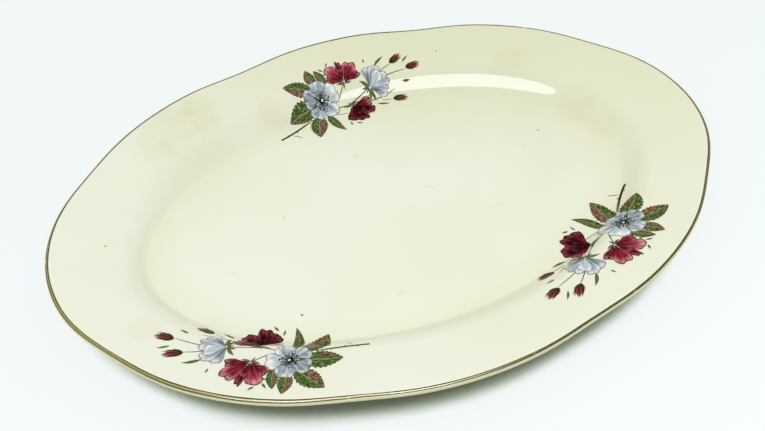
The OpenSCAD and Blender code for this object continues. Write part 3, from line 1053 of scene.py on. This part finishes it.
def gilt_material():
    """Fired gold with dark and bright stripes of painted reflection across it, a stretch of painted
    highlight and one of painted shade, thin in places, rubbed along its middle in one with a painted pale
    stripe of reflection there, and with small worn gaps.
    """
    tree = Tree(bpy.data.materials.new("fired_gold"))
    place_node = tree.texture_place("Object")
    patches = tree.noise(place_node, *GILT_PATCHES)
    across = tree.plus(tree.value("across"), tree.times(tree.minus(patches, 0.5), GILT_PATCH_SHARE))
    streaks = tree.smooth(tree.noise(place_node, *GILT_STREAKS), *GILT_STREAK_SPAN)
    # Painted reflection: the stops lay dark and bright stripes across the gold
    colour = tree.mix(streaks, tree.ramp(across, GILT_REFLECTION_STOPS), GILT_STREAK)
    # Painted highlight on one stretch of the gold
    colour = tree.mix(tree.times(tree.value("painted_highlight"), GILT_PAINTED_HIGHLIGHT_SHARE), colour, GILT_PAINTED_HIGHLIGHT)
    # Painted shade on another stretch of the gold
    colour = tree.mix(tree.times(tree.value("painted_shade"), GILT_PAINTED_SHADE_SHARE), colour, GILT_PAINTED_SHADE)
    middle = tree.smooth(tree.distance(across, 0.5), *GILT_RUBBED_SHEEN_SPAN)
    gaps = tree.smooth(tree.noise(place_node, *GILT_GAPS), *GILT_GAP_SPAN)
    # Real wear through the gold in small gaps, and along the rubbed middle also a painted pale stripe of
    # reflection
    wear_and_sheen = tree.larger(tree.times(tree.value("rubbed_and_sheen"), middle), gaps)
    colour = tree.mix(wear_and_sheen, colour, GILT_WORN_AND_SHEEN)
    roughness = tree.smooth(patches, *GILT_PATCH_GLOSS)
    tree.set(Base_Color=colour, Metallic=tree.minus(1.0, wear_and_sheen), Roughness=roughness)
    return tree.owner


# Enamel of the prints: weights of what makes a film lighter, and the spans of its lit rim and outline
PRINT_GLOSS = 0.12
PRINT_IOR = 1.06
ALONG_WEIGHT = 0.34
TONE_WEIGHT = 0.42
FINE_WEIGHT = 0.8
WIDE_WEIGHT = 0.9
FINE_ALONG = 1.4
FINE_DETAIL = 3.0
WIDE_STRETCH = 1.6
WIDE_DETAIL = 1.0
LIT_SPAN = (0.72, 0.9, 0, 0.75)
LIT_TONE_SPAN = (-0.1, 0.6, 0.15, 1.0)
LIT_STREAK_SPAN = (0.35, 0.6)
OUTLINE_EDGE_SPAN = (0.88, 0.98, 0, 0.8)
OUTLINE_TIP_SPAN = (0.94, 0.975, 0, 0.8)


def film_values(tree):
    """The values that each film carries: along, across, tone and seed."""
    return [tree.value(name) for name in ("along", "across", "tone", "seed")]


def film_noise(tree, across, along, seed, stretch_across, stretch_along, detail):
    """Noise drawn out along a film, another one for each seed."""
    place_node = tree.vector(tree.times(across, stretch_across), tree.times(along, stretch_along), seed)
    return tree.noise(place_node, 1.0, detail)


def print_material(name, stops, streak_turns, rim_tint, outline_tint):
    """Printed enamel: tone runs from base to tip, with streaks, a lit rim and a thin dark outline."""
    tree = Tree(bpy.data.materials.new(name))
    along, across, tone, seed = film_values(tree)
    fine = film_noise(tree, across, along, seed, streak_turns, FINE_ALONG, FINE_DETAIL)
    wide = film_noise(tree, across, along, seed, WIDE_STRETCH, WIDE_STRETCH, WIDE_DETAIL)
    shade = tree.plus(tree.times(along, ALONG_WEIGHT), tree.times(tone, TONE_WEIGHT))
    shade = tree.plus(shade, tree.times(tree.minus(fine, 0.5), FINE_WEIGHT))
    shade = tree.plus(shade, tree.times(tree.minus(wide, 0.5), WIDE_WEIGHT))
    lit = tree.times(tree.smooth(along, *LIT_SPAN), tree.smooth(tone, *LIT_TONE_SPAN))
    lit = tree.times(lit, tree.smooth(fine, *LIT_STREAK_SPAN))
    colour = tree.mix(lit, tree.ramp(shade, stops), rim_tint)
    edge = tree.smooth(tree.distance(across), *OUTLINE_EDGE_SPAN)
    tip = tree.smooth(along, *OUTLINE_TIP_SPAN)
    colour = tree.mix(tree.larger(edge, tip), colour, outline_tint)
    tree.set(Base_Color=colour, Roughness=PRINT_GLOSS, IOR=PRINT_IOR)
    return tree.owner


# Printed leaves: colours of the green and the turned parts, veins, and the stretch of the noise
LEAF_GREEN = ((0.3, "#1d2a12"), (0.5, "#4a602c"), (0.72, "#93a063"))
LEAF_BROWN = ((0.3, "#382414"), (0.5, "#7a573d"), (0.72, "#b5947a"))
LEAF_DARK = "#2c3a1c"
LEAF_MIDRIB = "#a9aa78"
LEAF_WIDE = (1.2, 2.2, 2.0)
LEAF_FINE = (6.0, 9.0, 2.0)
TURNED_ACROSS = 0.32
TURNED_TONE = 0.3
TURNED_SPAN = (0.66, 0.78)
VEINS = 7.0
VEIN_SLANT = 1.6
VEIN_SPAN = (0.4, 0.5, 0, 0.5)
MIDRIB_SPAN = (0.04, 0.1, 0.5, 0)
LEAF_EDGE_SPAN = (0.86, 1.0, 0, 0.5)


def leaf_material():
    """Printed leaves: olive green with brown turned parts, a midrib and slanting veins."""
    tree = Tree(bpy.data.materials.new("printed_leaf"))
    along, across, tone, seed = film_values(tree)
    wide = film_noise(tree, across, along, seed, *LEAF_WIDE)
    fine = film_noise(tree, across, along, seed, *LEAF_FINE)
    turned = tree.plus(tree.times(across, TURNED_ACROSS), tree.plus(wide, tree.times(tone, TURNED_TONE)))
    turned = tree.smooth(turned, *TURNED_SPAN)
    colour = tree.mix(turned, tree.ramp(fine, LEAF_GREEN), tree.ramp(fine, LEAF_BROWN))
    slant = tree.minus(tree.times(along, VEINS), tree.times(tree.distance(across), VEIN_SLANT))
    vein = tree.smooth(tree.distance(tree.math("FRACT", slant), 0.5), *VEIN_SPAN)
    colour = tree.mix(vein, colour, LEAF_DARK)
    colour = tree.mix(tree.smooth(tree.distance(across), *MIDRIB_SPAN), colour, LEAF_MIDRIB)
    colour = tree.mix(tree.smooth(tree.distance(across), *LEAF_EDGE_SPAN), colour, LEAF_DARK)
    tree.set(Base_Color=colour, Roughness=PRINT_GLOSS, IOR=PRINT_IOR)
    return tree.owner


# Sky: strength of its dark front and its bright rest, where it is seen, and its share below the horizon
SKY_DARK = 0.45
SKY_BRIGHT = 0.83
SKY_SEEN = 0.9
SKY_BELOW = 0.42
SKY_FRONT_SPAN = (-0.9, -0.2)
HORIZON_SPAN = (-0.05, 0.05)
# Lamps, in metres and watts; both aim at the middle of the platter
WINDOW_PLACE = (-0.255, -0.72, 0.84)
WINDOW_SIZE = (1.34, 0.24)
WINDOW_POWER = 4.45
WINDOW_COLOUR = (0.95, 0.98, 1.18)
OVERHEAD_PLACE = (0.0, -0.15, 1.6)
OVERHEAD_SIZE = (1.6, 1.3)
OVERHEAD_POWER = 1
OVERHEAD_COLOUR = (1, 1, 1)
# Floor: half its size, tints near and far and in the shade, and the reach of the shade under the platter
FLOOR_HALF = 12.0
FLOOR_NEAR = "#fafefd"
FLOOR_FAR = "#f0f7f5"
FLOOR_DEPTH_SPAN = (-0.3, 0.1)
FLOOR_SHADE = ((0.0, "#565c4a"), (0.35, "#9fab97"), (0.7, "#cbd6c8"))
FLOOR_BLACK = "#000000"
FLOOR_GLOW = 0.86
FLOOR_ROUGHNESS = 0.7
FLOOR_SPECULAR = 0.2
CONTACT_REACH = 0.032
CONTACT_SPAN = (0.42, 0.63)
OPEN_SPAN = (0.55, 1.0)
# Camera of the main view: sensor and lens, angles in degrees, and place in millimetres
CAMERA_SENSOR = 36.0
CAMERA_LENS = 36.178
CAMERA_AZIMUTH = -15.6057
CAMERA_ELEVATION = 48.6339
CAMERA_ROLL = -4.4136
CAMERA_PLACE = (-81.757, -272.137, 317.934)


def make_floor():
    """A pale floor that glows evenly where it is seen, with a soft green-grey shade under the platter."""
    tree = Tree(bpy.data.materials.new("pale_floor"))
    seen = tree.direct_rays()
    open_share = tree.smooth(tree.openness(CONTACT_REACH), *CONTACT_SPAN)
    y = tree.parts(tree.texture_place("Object"))[1]
    white = tree.mix(tree.smooth(y, *FLOOR_DEPTH_SPAN), FLOOR_NEAR, FLOOR_FAR)
    shown = tree.mix(tree.smooth(open_share, *OPEN_SPAN), tree.ramp(open_share, FLOOR_SHADE), white)
    tree.set(Base_Color=tree.mix(FLOOR_GLOW, shown, FLOOR_BLACK), Roughness=FLOOR_ROUGHNESS)
    tree.set(Emission_Color=shown, Emission_Strength=tree.times(seen, FLOOR_GLOW))
    tree.set(Specular_IOR_Level=FLOOR_SPECULAR)
    tree.see_through_from_below()
    corners = [(x * FLOOR_HALF, y * FLOOR_HALF, 0) for x, y in ((-1, -1), (1, -1), (1, 1), (-1, 1))]
    floor = new_object("floor", corners, [(0, 1, 2, 3)], tree.owner)


def make_sky():
    """A soft sky, darker in front and below the horizon, that looks even where it is seen."""
    world = bpy.data.worlds.new("studio")
    tree = Tree(world)
    back = tree.nodes["Background"]
    back.inputs["Color"].default_value = (1.0, 1.0, 1.0, 1.0)
    _, y, z = tree.parts(tree.texture_place("Generated"))
    front = tree.smooth(y, *SKY_FRONT_SPAN, SKY_DARK, SKY_BRIGHT)
    below = tree.smooth(z, *HORIZON_SPAN, SKY_BELOW, 1.0, kind="LINEAR")
    shown = tree.nodes.new("ShaderNodeMix")
    tree.plug(tree.direct_rays(), shown.inputs["Factor"])
    tree.plug(tree.times(front, below), shown.inputs["A"])
    tree.plug(SKY_SEEN, shown.inputs["B"])
    tree.plug(shown.outputs["Result"], back.inputs["Strength"])
    bpy.context.scene.world = world


def area_light(name, shape, centre, size, power, colour):
    """A flat lamp that aims at the middle of the platter."""
    light = bpy.data.lights.new(name, "AREA")
    light.shape = shape
    light.size, light.size_y = size
    light.energy = power
    light.color = colour
    obj = bpy.data.objects.new(name, light)
    obj.location = centre
    obj.rotation_euler = (-Vector(centre)).to_track_quat("-Z", "Y").to_euler()
    bpy.context.scene.collection.objects.link(obj)
    return obj


def make_lights():
    """A narrow window in front, which the far side of the well reflects, and a wide lamp overhead."""
    area_light("window_strip", "ELLIPSE", WINDOW_PLACE, WINDOW_SIZE, WINDOW_POWER, WINDOW_COLOUR)
    overhead = area_light(
        "overhead", "RECTANGLE", OVERHEAD_PLACE, OVERHEAD_SIZE, OVERHEAD_POWER, OVERHEAD_COLOUR
    )
    overhead.visible_glossy = False


def make_camera():
    """The camera of the main view, from in front and above."""
    camera = bpy.data.cameras.new("camera")
    camera.sensor_width = CAMERA_SENSOR
    camera.lens = CAMERA_LENS
    obj = bpy.data.objects.new("camera", camera)
    azimuth, elevation, roll = np.radians([CAMERA_AZIMUTH, CAMERA_ELEVATION, CAMERA_ROLL])
    level = np.cos(elevation)
    back = Vector((np.sin(azimuth) * level, -np.cos(azimuth) * level, np.sin(elevation)))
    right = Vector((np.cos(azimuth), np.sin(azimuth), 0))
    up = back.cross(right)
    turned_right = right * np.cos(roll) + up * np.sin(roll)
    turned_up = up * np.cos(roll) - right * np.sin(roll)
    axes = Matrix((turned_right, turned_up, back)).transposed().to_4x4()
    obj.matrix_world = Matrix.Translation(Vector(CAMERA_PLACE) * MM) @ axes
    bpy.context.scene.collection.objects.link(obj)
    bpy.context.scene.camera = obj


make_camera()
make_floor()
make_sky()
make_lights()

body = platter_mesh(glaze_material())
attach(body, "root")
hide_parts("platter_body")

gilt = gilt_mesh(gilt_material())
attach(gilt, "root")
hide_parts("gilt_lip_line")

# Enamels: name, colour stops from shade to light, streaks across a film, lit rim and outline
TWIG_ENAMEL = (
    "printed_twig",
    [(0.1, "#33200f"), (0.35, "#5e432c"), (0.6, "#857b50"), (0.85, "#b1af86")],
    3.0,
    "#857b50",
    "#4a3824",
)
CRIMSON_ENAMEL = (
    "printed_crimson",
    [(0.02, "#1e0407"), (0.24, "#4e0c17"), (0.5, "#892837"), (0.72, "#b2535d"), (0.95, "#e2b0ab")],
    5.0,
    "#d79c97",
    "#4a0f18",
)
BLUE_ENAMEL = (
    "printed_blue",
    [(0.08, "#4c5650"), (0.3, "#838f91"), (0.52, "#b2bcc0"), (0.74, "#dadeda"), (0.94, "#f6f6ec")],
    6.0,
    "#f4f4ea",
    "#6c7672",
)
HEART_ENAMEL = (
    "printed_heart",
    [(0.05, "#14150d"), (0.5, "#2b2f24"), (0.8, "#a9ab98"), (1.0, "#f4f4ea")],
    2.0,
    "#2f3328",
    "#14160e",
)
# Colours of a spray: node's ending, slot, drawing, height of its layer and material
PRINTS = (
    ("twigs", "print_brown", twig_films, 0.0, print_material(*TWIG_ENAMEL)),
    ("leaves", "print_green", leaf_films, 0.03, leaf_material()),
    ("crimson", "print_crimson", crimson_films, 0.09, print_material(*CRIMSON_ENAMEL)),
    ("blue", "print_blue", blue_films, 0.09, print_material(*BLUE_ENAMEL)),
    ("hearts", "print_dark", heart_films, 0.2, print_material(*HEART_ENAMEL)),
)
# Sprays: angle round the oval, distance of the middle from the lip, and turn
SPOTS = (("back", (89.0, 41.0, 9.0)), ("right", (307.5, 36.0, 6.0)), ("front", (232.0, 31.0, 0.0)))
for side, spot in SPOTS:
    for colour, slot, draw, layer, material in PRINTS:
        node = f"{side}_spray_{colour}"
        piece = print_object(f"{side}_print_{colour}", node, spot, draw(), layer, material)

bpy.context.scene.view_settings.view_transform = "Standard"
